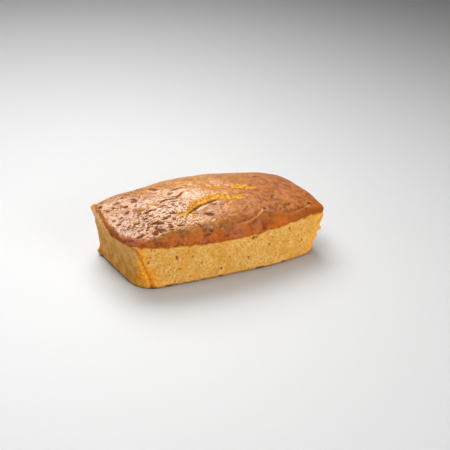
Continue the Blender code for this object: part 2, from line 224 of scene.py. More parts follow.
def edge_height(points):
    """Height of the line where crumb meets crust, which wanders up and down and is lower at the right."""
    long_share, end_share = mid_shares(points)
    ragged = EDGE_RAGGED * roughness(at_height(points, 0), size=9.0, seed=31)
    height = EDGE_CORNER + (EDGE_LONG - EDGE_CORNER) * long_share + (EDGE_END - EDGE_CORNER) * end_share
    return height + ragged - EDGE_RIGHT_FALL * smooth_step(points[..., 0], *EDGE_RIGHT_RANGE)


def dome_height(points):
    """Height of the smooth dome: 1 less a power of the distance along, the same across, and their product, on
    a tilt. The front of the left end falls away further, and two places swell a little."""
    x, y = points[..., 0], points[..., 1]
    long_share, end_share = mid_shares(points)
    reach_x = RIM_PLAN["length"] / 2 + RIM_PLAN["bow_end"] * end_share
    reach_y = RIM_PLAN["width"] / 2 + RIM_PLAN["bow_long"] * long_share
    rise_x = 1 - np.clip(np.abs(x) / reach_x, 0, 1) ** POWER_LENGTH
    rise_y = 1 - np.clip(np.abs(y) / reach_y, 0, 1) ** POWER_WIDTH
    rise = RISE_LENGTH * rise_x + RISE_WIDTH * rise_y + RISE_MIDDLE * rise_x * rise_y
    fall = LEFT_FALL * smooth_step(-x, *LEFT_FALL_ALONG) * smooth_step(-y, *LEFT_FALL_ACROSS)
    lift = np.zeros_like(x)
    for height, place, reach, across in SWELLS:
        lift += height * np.exp(-(((x - place) / reach) ** 2)) * smooth_step(y, *across)
    return RIM_CORNER + rise - DOME_TILT * x / (LENGTH / 2) - fall + lift


def corner_beak(points):
    """How far the crust's beak stands out: all of it at the back left corner, falling to 0 beside it."""
    corner = plan_point(np.array([-1.0]), np.array([1.0]), EDGE_PLAN)[0]
    away = np.linalg.norm(points - corner, axis=-1)
    return BEAK_LENGTH * np.exp(-((away / BEAK_SPREAD) ** 2))


# ------------------------------------------------------------
# The split
# As it rose, the batter broke through the set skin along the front half, and left a long split shaped like a
# lens. Its front lip is a clean edge, and torn golden crumb slopes up from under it to the back lip. What is
# given as a share here is a share of the split's width.
SPLIT_CENTRE = -16.0
SPLIT_LENGTH = 68.0
SPLIT_FRONT = -22.6
SPLIT_BEND = 9.8
SPLIT_BEND_START = 3.0
SPLIT_BEND_REACH = 50.0
SPLIT_BEND_POWER = 1.15
SPLIT_WANDER = 1.0
SPLIT_WIDTH = 15.0
SPLIT_THINNEST = 0.1
SPLIT_DEPTH = 5.2
SPLIT_SHALLOW = 0.55
SPLIT_SHALLOW_RANGE = (-34.0, 8.0)
# The power of its lens shape, and how quickly its depth and its colour set in from the tips
GAPE_POWER = 3.0
GAPE_DEEP = 1.6
GAPE_SHOWN = 3.0
# The front lip: its steep drop, its raised brim and the reach of that, and its shadow
LIP_RAMP = 0.10
LIP_RISE = 1.0
LIP_REACH = 3.4
LIP_SHADE = (0.30, 0.62)
LIP_SHADE_RIGHT = (-14.0, 6.0)
# Where torn crumb sets in behind the front lip, and where it ends at the back lip
TORN_FRONT = (0.0, 0.06)
TORN_BACK = (0.85, 1.1)


def split_place(points):
    """Where a point lies in the split: how wide it gapes there, 0 to 1, and how far the point is on its way
    from the front lip, 0, to the back lip, 1. The front lip bends forward towards its left end, by a power of
    the distance, and wanders a little."""
    x, y = points[..., 0], points[..., 1]
    gape = np.clip(1 - np.abs((x - SPLIT_CENTRE) / (SPLIT_LENGTH / 2)) ** GAPE_POWER, 0, 1)
    lip = SPLIT_FRONT - SPLIT_BEND * (np.abs(x - SPLIT_BEND_START) / SPLIT_BEND_REACH) ** SPLIT_BEND_POWER
    lip = lip + SPLIT_WANDER * roughness(at_height(points, 0), size=8.0, seed=41)
    return gape, (y - lip) / np.maximum(SPLIT_WIDTH * gape, SPLIT_THINNEST)


def split_relief(points):
    """The crust drops at the front lip, and torn crumb slopes up from there to the back lip. The split grows
    shallow towards its right end, where the torn crumb bulges up again."""
    gape, share = split_place(points)
    deep = SPLIT_DEPTH * (1 - SPLIT_SHALLOW * smooth_step(points[..., 0], *SPLIT_SHALLOW_RANGE))
    drop = np.clip(share / LIP_RAMP, 0, 1) * np.clip(1 - share, 0, 1)
    before = np.minimum(share, 0) * SPLIT_WIDTH * gape / LIP_REACH
    rise = np.exp(-((before + 1) ** 2)) * (share < 0)
    return np.minimum(gape * GAPE_DEEP, 1) * (LIP_RISE * rise - deep * drop)


def split_shows(points):
    """Two shares: torn crumb, 1 from just behind the front lip to the back lip, and the shadow at the front
    lip's foot, which ends towards the right."""
    gape, share = split_place(points)
    gapes = np.minimum(gape * GAPE_SHOWN, 1)
    torn = gapes * smooth_step(share, *TORN_FRONT) * (1 - smooth_step(share, *TORN_BACK))
    shadow = smooth_step(share, 0.0, LIP_RAMP) * (1 - smooth_step(share, *LIP_SHADE)) * gapes
    return torn, shadow * (1 - smooth_step(points[..., 0], *LIP_SHADE_RIGHT))


# ------------------------------------------------------------
# The skin's marks
# The crust's skin is a millimetre or two of dried batter. It flaked off in places, cracked, slid over itself
# in folds while it was soft, and on the left it wrinkled and is full of pits where bubbles burst.

# Places where the skin flaked off or tore and the crumb shows: x, y, length, width, angle, how much shows
FLAKES = (
    (34.0, -3.5, 40.0, 15.0, -5.0, 0.95),
    (4.0, 6.0, 40.0, 13.0, -14.0, 0.62),
    (16.0, -21.5, 26.0, 10.0, 0.0, 0.75),
    (0.4, -31.3, 9.0, 5.0, 0.0, 0.7),
    (-66.0, -1.0, 30.0, 6.0, -42.0, 0.5),
    (-48.0, -34.5, 26.0, 10.0, -36.0, 0.8),
    (-84.9, 2.4, 13.0, 3.6, -41.0, 0.9),
    (-79.0, -8.4, 11.0, 3.0, -6.0, 0.7),
    (-90.7, -11.7, 9.0, 4.0, -41.0, 0.6),
)
FLAKE_EDGE = (-0.1, 0.6)
FLAKE_RAGGED = 0.75
FLAKE_DEPTH = 0.9
ISLAND_SKIN = 0.5
ISLAND_RANGE = (0.30, 0.60)

# Cracks, slits and pits in the crust: x, y, length, width, depth, angle
CRACKS = (
    (-56.8, 1.0, 11.0, 2.8, 1.5, 8.0),
    (-48.2, -0.2, 10.5, 2.6, 1.5, -24.0),
    (-38.0, 2.4, 15.0, 2.6, 1.7, 35.0),
    (-52.2, 32.6, 11.0, 5.0, 1.8, -80.0),
    (-32.3, 16.7, 16.5, 2.8, 1.4, 4.0),
    (-43.9, 11.7, 7.5, 2.6, 1.1, 0.0),
    (-85.8, 34.8, 5.0, 3.4, 1.2, 24.0),
    (-79.4, 23.0, 7.0, 4.0, 1.5, -70.0),
    (-96.8, 27.4, 7.0, 2.8, 1.1, -18.0),
    (-91.9, 15.9, 4.8, 3.2, 1.3, -16.0),
    (-102.7, 22.6, 3.4, 2.8, 1.2, -37.0),
    (-112.2, 33.2, 3.6, 3.4, 2.4, 14.0),
    (-108.9, 22.7, 3.6, 2.4, 1.0, -35.0),
    (-94.8, 7.9, 3.6, 3.0, 1.5, -36.0),
    (-84.9, 1.0, 11.5, 2.6, 1.2, -41.0),
    (-79.0, -8.0, 10.0, 2.6, 1.3, -6.0),
    (-79.9, -30.3, 11.5, 4.2, 1.9, -37.0),
    (-70.9, -28.7, 6.5, 2.6, 1.2, -10.0),
    (-96.4, -15.1, 4.0, 2.8, 1.2, -44.0),
    (-110.2, -3.7, 4.0, 3.0, 1.3, -20.0),
    (-110.0, 5.5, 3.2, 2.6, 1.0, -36.0),
    (-102.4, -35.3, 8.0, 3.0, 1.6, 2.0),
    (-83.3, -41.2, 8.5, 4.6, 1.5, -21.0),
    (-89.7, -42.9, 5.5, 2.6, 1.2, -34.0),
    (-71.6, -42.0, 4.0, 3.0, 1.3, -16.0),
    (-28.7, -41.6, 10.0, 4.2, 1.6, -30.0),
    (-45.5, -50.5, 8.0, 2.4, 0.9, -52.0),
    (-62.0, -44.0, 8.0, 3.4, 1.0, -20.0),
    (-73.2, -54.5, 4.0, 3.2, 1.0, -17.0),
    (30.0, -6.5, 20.0, 2.8, 1.2, -14.0),
    (57.5, -27.0, 12.5, 3.6, 1.0, 37.0),
    (69.0, -41.6, 5.0, 3.4, 1.2, 20.0),
    (97.4, -38.2, 6.0, 3.6, 1.6, 6.0),
    (59.3, -58.0, 4.6, 3.6, 1.6, 3.0),
    (35.2, -45.8, 4.0, 3.2, 1.2, -12.0),
    (54.8, -47.0, 3.6, 3.0, 1.2, -2.0),
    (16.9, -41.2, 3.6, 2.0, 1.0, -5.0),
    (112.4, 2.2, 6.0, 3.4, 1.2, -84.0),
    (72.0, 26.0, 14.0, 3.2, 1.0, 8.0),
    (-6.0, 38.0, 16.0, 3.0, 0.9, -5.0),
)
# How far a crack runs past its length, how steep it is, its width at the tips and what the middle adds,
# how its line wavers, and the depth in millimetres that looks fully dark
CRACK_REACH = 1.12
CRACK_STEEP = 2.6
CRACK_TIP_WIDTH = 0.4
CRACK_WIDENS = 0.7
CRACK_WAVER = 1.2
CRACK_DARK = 1.3

# Folds: points along the crest, crest height, groove depth, how strongly its painted highlight and shade show
FOLDS = (
    (((-6.0, -57.2), (9.9, -56.9), (20.4, -55.0), (28.0, -51.5), (34.0, -46.0)), 0.8, 0.9, 1.0),
    (((42.0, -54.0), (58.0, -53.4), (72.7, -51.8), (84.1, -48.5), (95.0, -44.0)), 0.7, 1.2, 0.3),
)
FOLD_WIDTH = 1.8
FOLD_NARROW = 0.45
FOLD_STEEP_RANGE = (-57.0, -50.0)
CREST_STEEP = 1.8
GROOVE_BEHIND = 1.3
GROOVE_SHADE = 0.25

# Pits: how much longer than wide, the spacing, smallest and largest radius as shares of it, and the seed
FINE_PITS = (1.8, 2.8, 0.20, 0.50, 62)
WIDE_PITS = (2.2, 6.4, 0.08, 0.36, 61)
WIDE_PITS_LEAST = 0.15
# A pit's raised lip: its height as a share of the depth, and its place outside the rim
PIT_LIP = 0.20
PIT_LIP_PLACE = 0.45
PIT_DEPTH = 1.0
# Where the skin is pitted: everywhere left of a slanting line that wanders, but less at the very end
PITTED_SLANT = 0.5
PITTED_WANDER = 14.0
PITTED_RANGE = (-48.0, -8.0)
END_SLANT = 0.25
END_RANGE = (-118.0, -102.0)
END_LEAST = 0.25
# The oval of tight skin: its middle, its reach, the wrinkles' direction, and how tight the rest is
WRINKLE_CENTRE = (-82.0, -22.0)
WRINKLE_REACH = (38.0, 26.0)
WRINKLE_ANGLE = -22.0
WRINKLE_ELSEWHERE = 0.3

# Heights of the crust's waves, of its fine roughness and of its lumps
WAVE_CRUST = 0.55
SKIN_RUGGED = 0.10
PITTED_RUGGED = 0.06
TORN_RUGGED = 0.30
SKIN_UNEVEN = 0.3


def turned(points, centre, angle):
    """Coordinates along and across a feature that is turned by an angle about its centre."""
    turn = np.radians(angle)
    dx, dy = points[..., 0] - centre[0], points[..., 1] - centre[1]
    return dx * np.cos(turn) + dy * np.sin(turn), dy * np.cos(turn) - dx * np.sin(turn)


def flake_share(points):
    """1 where the crumb shows, 0 under whole skin: inside each ellipse, with an edge that lumps break up and
    with islands of skin left in it."""
    flat = at_height(points, 0)
    ragged = FLAKE_RAGGED * roughness(flat, size=6.5, seed=45)
    bare = 1 - ISLAND_SKIN + ISLAND_SKIN * smooth_step(lumps(flat, size=4.2, seed=48), *ISLAND_RANGE)
    shown = np.zeros(points.shape[:-1])
    for x, y, length, width, angle, most in FLAKES:
        along, across = turned(points, (x, y), angle)
        inside = 1 - (2 * along / length) ** 2 - (2 * across / width) ** 2
        shown = np.maximum(shown, most * smooth_step(inside + ragged * (inside > -1), *FLAKE_EDGE))
    return shown * bare


def crack_depth(points):
    """The small cracks: each is a groove, deepest and widest at its middle, along a line that wavers."""
    depth = np.zeros(points.shape[:-1])
    waver = CRACK_WAVER * roughness(at_height(points, 0), size=5.0, seed=51)
    for x, y, length, width, deep, angle in CRACKS:
        along, across = turned(points, (x, y), angle)
        taper = np.clip(1 - (2 * along / (CRACK_REACH * length)) ** 2, 0, 1)
        wide = width * (CRACK_TIP_WIDTH + CRACK_WIDENS * taper)
        profile = np.exp(-((CRACK_STEEP * (across + waver) / wide) ** 2))
        depth = np.maximum(depth, deep * np.sqrt(taper) * profile)
    return depth


def fold_relief(points):
    """Each fold is a narrow crest with a groove behind it, both fading towards the fold's two ends, and both
    narrower on the steep shoulder. The second number is painted light: up to 1 on its crest, which the crust
    lightens as a painted highlight, and below 0 in its groove, which it darkens as painted shade."""
    x, y = points[..., 0], points[..., 1]
    relief, shows = np.zeros_like(x), np.zeros_like(x)
    for route, crest, groove, show in FOLDS:
        route_x, route_y = np.transpose(route)
        share = (x - route_x[0]) / (route_x[-1] - route_x[0])
        taper = np.sqrt(np.clip(4 * share * (1 - share), 0, 1))
        line = np.interp(x, route_x, route_y)
        narrow = FOLD_NARROW + (1 - FOLD_NARROW) * smooth_step(line, *FOLD_STEEP_RANGE)
        behind = (y - line) / (FOLD_WIDTH * narrow)
        ridge = taper * np.exp(-((CREST_STEEP * behind) ** 2))
        valley = taper * np.exp(-((behind - GROOVE_BEHIND) ** 2))
        relief += crest * ridge - groove * valley
        shows += show * (ridge - GROOVE_SHADE * valley)
    return relief, shows


def pitted_share(points):
    """1 over the left of the top, where the skin is full of small pits, falling to 0 over the right."""
    wander = PITTED_WANDER * roughness(at_height(points, 0), size=30.0, seed=65)
    return 1 - smooth_step(points[..., 0] + PITTED_SLANT * points[..., 1] + wander, *PITTED_RANGE)


def tight_share(points):
    """How finely the skin is wrinkled: most inside one oval, some over the rest of the pitted left."""
    away = (((points[..., :2] - np.array(WRINKLE_CENTRE)) / np.array(WRINKLE_REACH)) ** 2).sum(axis=-1)
    return WRINKLE_ELSEWHERE * pitted_share(points) + (1 - WRINKLE_ELSEWHERE) * np.exp(-(away**2))


def pit_kind(points, stretch, *kind):
    """One kind of pit, drawn out along the wrinkles: a hole with steep sides, 1 at its middle, and a low
    raised lip of skin round it, below 0."""
    along, across = turned(points, (0, 0), WRINKLE_ANGLE)
    depth = bubbles(np.stack([along / stretch, across, points[..., 2]], axis=-1), *kind)
    lip = np.clip(1 - np.abs(depth + PIT_LIP_PLACE) / PIT_LIP_PLACE, 0, 1)
    return np.sqrt(np.clip(depth, 0, 1)) - PIT_LIP * lip


def pits(points):
    """Burst bubbles and short wrinkles: fine ones where the skin is tight, and wider ones, further apart,
    over the whole left. Both grow weak at the very end, and where both lie, the stronger one shows."""
    from_end = points[..., 0] - END_SLANT * points[..., 1]
    spare = END_LEAST + (1 - END_LEAST) * smooth_step(from_end, *END_RANGE)
    pitted = WIDE_PITS_LEAST + (1 - WIDE_PITS_LEAST) * pitted_share(points)
    fine = pit_kind(points, *FINE_PITS) * tight_share(points) * spare
    wide = pit_kind(points, *WIDE_PITS) * pitted * spare
    return np.where(np.abs(fine) > np.abs(wide), fine, wide)


def crust_parts(points):
    """The crust's relief and what shows in it: the change of height, how much torn crumb shows, and how deep
    the point lies in a pit or crack or in the front lip's shadow, which is below 0 on a lip or crest. The
    finishes darken it as painted shade and lighten lips and crests with it as painted highlight."""
    in_split, lip_shadow = split_shows(points)
    flaked = flake_share(points)
    torn = np.clip(in_split + flaked, 0, 1)
    cracks = crack_depth(points)
    holes = pits(points) * (1 - in_split)
    folds, fold_glint_shade = fold_relief(points)
    relief = split_relief(points) - FLAKE_DEPTH * flaked + folds - cracks
    relief = relief + WAVE_CRUST * waves(at_height(points, HEIGHT)) - PIT_DEPTH * holes
    rugged = SKIN_RUGGED + PITTED_RUGGED * pitted_share(points) + TORN_RUGGED * torn
    relief = relief + rugged * roughness(points, size=3.6, seed=71)
    relief = relief + SKIN_UNEVEN * roughness(points, size=9.0, seed=75)
    return relief, torn, np.clip(cracks / CRACK_DARK + holes + lip_shadow - fold_glint_shade, -1, 2)


# ------------------------------------------------------------
# The walls' form
# Crumb that set against the paper is nearly flat, with the bubbles' holes, folds that the paper left beside
# the corners, and a few places where crumb tore away with the paper.
WAVE_WALL = 0.35
FOOT_ROUNDING = 1.5
FOOT_SWELL = 3.4
FOOT_SWELL_CENTRE = 50.0
FOOT_SWELL_REACH = 44.0
FOOT_SWELL_ACROSS = (20.0, 50.0)
CRUST_OVERHANG = 0.8
WALL_GRAIN = 0.15
GOLDEN_GRAIN = 0.75

CREASE_DEPTH = 1.6
CREASE_WIDTH = 1.7
CREASE_WAVER = 1.6
CREASE_INSET = 4.0
CREASE_DRIFT = 0.45
CREASE_ACROSS = (32.0, 36.0)
CREASE_BELOW = (-3.0, 1.0)

GOLDEN_INSET = 10.0
GOLDEN_DRIFT = 0.22
GOLDEN_REACH = (5.0, 13.0)
GOLDEN_REACH_BELOW = (8.0, 44.0)
GOLDEN_ACROSS = (28.0, 34.0)
GOLDEN_PATCHES = (0.25, 0.60)
GOLDEN_FOOT = 0.7
GOLDEN_FOOT_BELOW = (22.0, 42.0)

# Lumps of torn crumb: x, y, z, radius, height
TEARS = (
    (113.0, -43.0, 38.5, 7.5, 3.2),
    (111.0, -42.0, 31.0, 5.0, 2.0),
    (109.5, -41.0, 23.0, 5.0, 5.2),
    (107.5, -41.0, 15.0, 5.0, 2.4),
    (114.0, -20.0, 30.0, 7.0, 1.2),
    (-107.0, 37.5, 4.0, 6.0, 4.4),
    (-40.0, 55.0, 24.0, 7.0, 1.0),
)
TEAR_CORE = 0.67
TEAR_GOLD = 0.7
TEAR_GOLD_RANGE = (0.5, 3.0)

# Pores: the spacing, smallest and largest radius as shares of it, and the seed
FINE_PORES = (3.4, 0.14, 0.50, 81)
LARGE_PORES = (12.0, 0.05, 0.17, 82)
FINE_PORE_DEPTH = 0.6
PORE_DEPTH = 0.8

# The largest pores of the front: x, z, radius
FRONT_PORES = (
    (-70.0, 32.2, 2.0),
    (-69.4, 30.0, 1.6),
    (-65.8, 18.0, 1.5),
    (-99.7, 29.2, 1.8),
    (-97.6, 19.0, 1.8),
    (-96.8, 44.0, 1.4),
    (-41.7, 21.2, 1.5),
    (-53.1, 30.0, 1.4),
    (16.8, 38.0, 3.0),
    (20.5, 37.6, 2.0),
    (38.0, 25.5, 1.9),
    (63.3, 37.2, 1.6),
    (82.6, 19.1, 1.6),
)


def crease_share(points, heights):
    """1 in the paper's folds, one beside each corner of the long sides, which wander inwards to the foot."""
    x, y = points[..., 0], points[..., 1]
    below = EDGE_CORNER - heights
    corner = np.stack([np.sign(x), np.sign(y), heights], axis=-1)
    waver = CREASE_WAVER * roughness(corner, size=7.0, seed=87)
    place = LENGTH / 2 - CREASE_INSET - CREASE_DRIFT * below + waver
    near = np.exp(-(((np.abs(x) - place) / CREASE_WIDTH) ** 2))
    return near * np.interp(np.abs(y), CREASE_ACROSS, (0, 1)) * np.interp(below, CREASE_BELOW, (0, 1))


def golden_share(points, heights):
    """1 where the crumb browned against the tin, which is in patches beside the corners of the long sides and
    more of them towards the foot."""
    below = EDGE_CORNER - heights
    inside = LENGTH / 2 - GOLDEN_INSET - GOLDEN_DRIFT * below - np.abs(points[..., 0])
    least, most = GOLDEN_REACH
    reach = least + (most - least) * smooth_step(below, *GOLDEN_REACH_BELOW)
    near = np.exp(-((inside / reach) ** 2)) * np.interp(np.abs(points[..., 1]), GOLDEN_ACROSS, (0, 1))
    patches = smooth_step(lumps(np.column_stack([points, heights]), size=6.5, seed=88), *GOLDEN_PATCHES)
    return near * np.clip(patches + GOLDEN_FOOT * smooth_step(below, *GOLDEN_FOOT_BELOW), 0, 1)


def tear_relief(points, heights):
    """Torn crumb that stands out of the walls, each lump a bell of its own radius and height."""
    relief = np.zeros_like(heights)
    for x, y, z, radius, height in TEARS:
        away = (points[..., 0] - x) ** 2 + (points[..., 1] - y) ** 2 + (heights - z) ** 2
        relief += height * np.exp(-away / (radius * TEAR_CORE) ** 2)
    return relief


def wall_holes(points):
    """Bubbles cut by the wall: many fine ones and a few large ones."""
    fine = np.maximum(bubbles(points, *FINE_PORES), 0)
    large = np.maximum(bubbles(points, *LARGE_PORES), 0)
    for x, z, radius in FRONT_PORES:
        away = ((points[..., 0] - x) ** 2 + (points[..., 2] - z) ** 2) / radius**2
        large = np.maximum(large, np.clip(1 - away, 0, 1) * (points[..., 1] < 0))
    return np.maximum(FINE_PORE_DEPTH * fine, large)


# ------------------------------------------------------------
# The loaf's surface
# One closed mesh: the dome is a grid, and rings run from its edge round the shoulder, down the walls, round
# the foot and in under the base. Each vertex keeps what its place looks like, for the three finishes.
CELLS_LONG = 304
CELLS_WIDE = 152
CROWD_LONG = (-0.15, 0.25)
CROWD_WIDE = (-0.30, 0.35)
SHOULDER_RINGS = 14
SHOULDER_PULL = (0.62, 0.45)
WALL_RINGS = 36
WALL_SHARES = (0.985, 0.055)
FOOT_RINGS = 3
BASE_SHARES = (0.97, 0.88, 0.55, 0.05)
BASE_RIDGE = 80.0

# Unevenness of the shoulder: depth, size of its lumps, seed
SHOULDER_LUMPS = ((0.9, 11.0, 91), (0.4, 6.0, 98))
SHOULDER_HOLLOW = 0.35
# Dents under the base: spacing, smallest and largest radius as shares of it, seed
BASE_DENTS = (6.0, 0.15, 0.45, 83)
DENT_DEPTH = 0.35

# Where the lowest crust of the front left corner and of the right end is browned further up than elsewhere
BROWN_WANDER = 1.5
BROWN_LEFT_ALONG = (84.0, 102.0)
BROWN_LEFT_ACROSS = (12.0, 32.0)
BROWN_LEFT_ABOVE = (4.0, 7.5)
BROWN_RIGHT_ALONG = (62.0, 98.0)
BROWN_RIGHT_ABOVE = (5.5, 9.5)
# Where the shoulder gets a pale strip of painted sheen in place of the crust's gloss: the back of the left
# end
LEFT_SHEEN = 1.35
LEFT_SHEEN_ALONG = (100.0, 114.0)
LEFT_SHEEN_ACROSS = (-12.0, 25.0)

# The finishes by number, and the names under which the vertices keep their looks
BAKED, CRUMB, TOASTED = 0, 1, 2
LOOKS = ("torn", "hollow", "shoulder", "tight", "above_line")
# How much torn crumb makes a face crumb, and what makes it toasted
BARE_FROM = 0.45
DRY_FROM = 0.22
DRY_RAGGED = 0.25
DRY_RIGHT = 0.4
DRY_RIGHT_RANGE = (40.0, 80.0)
DRY_DOME_RAGGED = 6.0
DRY_DOME_BELOW = 8.0
DRY_DOME_RIGHT = 50.0


def crowd(even, centre, amount):
    """Even steps from -1 to 1, moved closer together round a centre by a sine."""
    return even - amount / np.pi * (np.sin(np.pi * (even - centre)) - np.sin(np.pi * centre))


def grid_lines():
    """The two parameters along and across the dome, and the same two once round its edge."""
    s = crowd(np.linspace(-1, 1, CELLS_LONG + 1), *CROWD_LONG)
    t = crowd(np.linspace(-1, 1, CELLS_WIDE + 1), *CROWD_WIDE)
    one = np.ones_like
    round_s = np.concatenate([s[:-1], one(t[:-1]), s[:0:-1], -one(t[:-1])])
    round_t = np.concatenate([-one(s[:-1]), t[:-1], one(s[:-1]), t[:0:-1]])
    return s, t, round_s, round_t


def corner_browned(points):
    """1 over the lowest crust of the front left corner and of the right end: a range along the loaf, a range
    across it for the corner, and a height above the crust's edge that wanders."""
    low = points[..., 2] - edge_height(points[..., :2])
    low = low + BROWN_WANDER * roughness(at_height(points, 0), size=7.0, seed=97)
    left = smooth_step(-points[..., 0], *BROWN_LEFT_ALONG) * smooth_step(-points[..., 1], *BROWN_LEFT_ACROSS)
    right = smooth_step(points[..., 0], *BROWN_RIGHT_ALONG) * (1 - smooth_step(low, *BROWN_RIGHT_ABOVE))
    return np.maximum(left * (1 - smooth_step(low, *BROWN_LEFT_ABOVE)), right)


def place_dome(s, t):
    """The dome: the rim's plan, lifted to the smooth dome's height plus the crust's relief."""
    plan = plan_point(s, t, RIM_PLAN)
    points = np.column_stack([plan, dome_height(plan)])
    relief, torn, hollow = crust_parts(points)
    browned_and_sheen = corner_browned(points)
    points[:, 2] += relief
    return points, torn, hollow, browned_and_sheen


def place_shoulder(s, t, turn):
    """One ring of the shoulder, turn 0 to 1: a Bezier curve that leaves the crust's edge straight up and
    meets the rim at the dome's own slope. Waves and lumps push it out, most at its middle, and the crust's
    relief lifts it, most at the rim."""
    outer, inner = plan_point(s, t, EDGE_PLAN), plan_point(s, t, RIM_PLAN)
    low, high = edge_height(outer), dome_height(inner)
    slope = dome_height(inner - outward(outer)) - high
    reach = np.linalg.norm(outer - inner, axis=-1)
    lean = 3 * (1 - turn) * turn**2 * SHOULDER_PULL[1] + turn**3
    plan = outer + (inner - outer) * lean
    first = 3 * (1 - turn) ** 2 * turn * (low + (high - low) * SHOULDER_PULL[0])
    second = 3 * (1 - turn) * turn**2 * (high - slope * reach * (1 - SHOULDER_PULL[1]))
    points = np.column_stack([plan, (1 - turn) ** 3 * low + first + second + turn**3 * high])
    climb = smooth_step(turn, 0.0, 1.0)
    relief, torn, hollow = crust_parts(points)
    swell = WAVE_CRUST * waves(points) - SHOULDER_HOLLOW * hollow
    swell = swell + sum(depth * roughness(points, size, seed) for depth, size, seed in SHOULDER_LUMPS)
    beak = corner_beak(outer) * (1 - climb)
    points[:, :2] += outward(outer) * (swell * np.sin(turn * np.pi) + beak)[:, None]
    points[:, 2] += relief * climb + beak * BEAK_LIFT
    # Painted sheen: at the back of the left end the shoulder share falls below 0, which the crust paints pale
    pale = smooth_step(-points[:, 0], *LEFT_SHEEN_ALONG) * smooth_step(points[:, 1], *LEFT_SHEEN_ACROSS)
    browned_and_sheen = np.maximum((1 - climb) * (1 - LEFT_SHEEN * pale), corner_browned(points) - 2 * (pale > 0))
    return points, np.maximum(torn * climb, corner_beak(outer) / BEAK_LENGTH), hollow, browned_and_sheen


def foot_point(s, t):
    """A point of the foot's plan. The right of the front, where the batter was deepest, swells out."""
    foot = plan_point(s, t, FOOT_PLAN)
    along = np.exp(-(((foot[:, 0] - FOOT_SWELL_CENTRE) / FOOT_SWELL_REACH) ** 2))
    foot[:, 1] -= FOOT_SWELL * along * smooth_step(-foot[:, 1], *FOOT_SWELL_ACROSS)
    return foot


def place_wall(s, t, share):
    """One ring of the wall: share of the way from the foot, 0, to the crust's edge, 1. Waves, torn lumps and
    grain push it out, and pores, the paper's folds and the crust's overhang bring it in."""
    foot, edge = foot_point(s, t), plan_point(s, t, EDGE_PLAN)
    plan = foot + (edge - foot) * share
    points = np.column_stack([plan, edge_height(edge) * share])
    crease = crease_share(plan, points[:, 2])
    holes = wall_holes(points)
    tears = tear_relief(plan, points[:, 2])
    golden = np.maximum(golden_share(plan, points[:, 2]), TEAR_GOLD * smooth_step(tears, *TEAR_GOLD_RANGE))
    bump = WAVE_WALL * (waves(points) - 1) - CREASE_DEPTH * crease + tears
    bump = bump - CRUST_OVERHANG * min(share * 2, 1) - PORE_DEPTH * holes
    bump = bump + (WALL_GRAIN + GOLDEN_GRAIN * golden) * roughness(points, size=3.0, seed=85)
    beak = corner_beak(edge) * share
    points[:, :2] += outward(edge) * (bump + beak)[:, None]
    points[:, 2] += beak * BEAK_LIFT * share
    # The pores and the paper's folds go on as hollows, which the crumb darkens as painted shade.
    return points, golden, np.maximum(holes, crease), np.zeros_like(holes)


def place_foot(s, t, turn):
    """One ring of the rounded foot, a quarter circle from the wall, turn 0, to the base, turn 1."""
    foot, edge = foot_point(s, t), plan_point(s, t, EDGE_PLAN)
    height = FOOT_ROUNDING * (1 - np.sin(turn * np.pi / 2))
    inset = WAVE_WALL + (FOOT_ROUNDING - WAVE_WALL) * (1 - np.cos(turn * np.pi / 2))
    plan = foot + (edge - foot) * height / EDGE_CORNER - outward(edge) * inset
    zero = np.zeros(len(plan))
    return np.column_stack([plan, zero + height]), zero, zero, zero


def place_base(s, t, share):
    """One ring of the flat base: the foot's last ring drawn in towards a line along the cake's middle. Its
    outermost ring, on which the cake stands, has no dents."""
    ring = place_foot(s, t, 1.0)[0]
    ridge = np.column_stack([np.clip(ring[:, 0], -BASE_RIDGE, BASE_RIDGE), 0 * ring[:, :2]])
    ring = ridge + (ring - ridge) * share
    dents = DENT_DEPTH * np.maximum(bubbles(ring, *BASE_DENTS), 0)
    ring[:, 2] += dents * (share < BASE_SHARES[0])
    zero = np.zeros(len(ring))
    # The dents go on as hollows, which the crumb darkens as painted shade.
    return ring, zero, dents, zero


def ring_parts(s, t):
    """All the rings from the top down, each with its torn share, its hollows and its shoulder share."""
    parts = [place_shoulder(s, t, turn) for turn in np.linspace(1, 0, SHOULDER_RINGS + 1)[1:]]
    parts += [place_wall(s, t, share) for share in np.linspace(*WALL_SHARES, WALL_RINGS)]
    parts += [place_foot(s, t, turn) for turn in np.linspace(0, 1, FOOT_RINGS)]
    parts += [place_base(s, t, share) for share in BASE_SHARES]
    return parts


def strip_faces(rings):
    """Four-sided faces between each ring and the next one down, facing outwards."""
    upper, lower = rings[:-1], rings[1:]
    corners = [lower, np.roll(lower, -1, axis=1), np.roll(upper, -1, axis=1), upper]
    return np.stack(corners, axis=-1).reshape(-1, 4)


def loaf_faces(ring_count):
    """The dome's cells, the shoulder's strips, the strips below it, and the last ring closed by triangles to
    one middle point."""
    across = CELLS_LONG + 1
    grid = np.arange(across * (CELLS_WIDE + 1)).reshape(CELLS_WIDE + 1, across)
    cells = np.stack([grid[:-1, :-1], grid[:-1, 1:], grid[1:, 1:], grid[1:, :-1]], axis=-1).reshape(-1, 4)
    rim = np.concatenate([grid[0, :-1], grid[:-1, -1], grid[-1, :0:-1], grid[:0:-1, 0]])
    rings = grid.size + np.arange(ring_count * len(rim)).reshape(ring_count, len(rim))
    rings = np.vstack([rim, rings])
    middle = np.full(len(rim), rings[-1, -1] + 1)
    cap = np.stack([rings[-1], middle, np.roll(rings[-1], -1)], axis=1)
    return cells, strip_faces(rings[: SHOULDER_RINGS + 1]), strip_faces(rings[SHOULDER_RINGS:]), cap


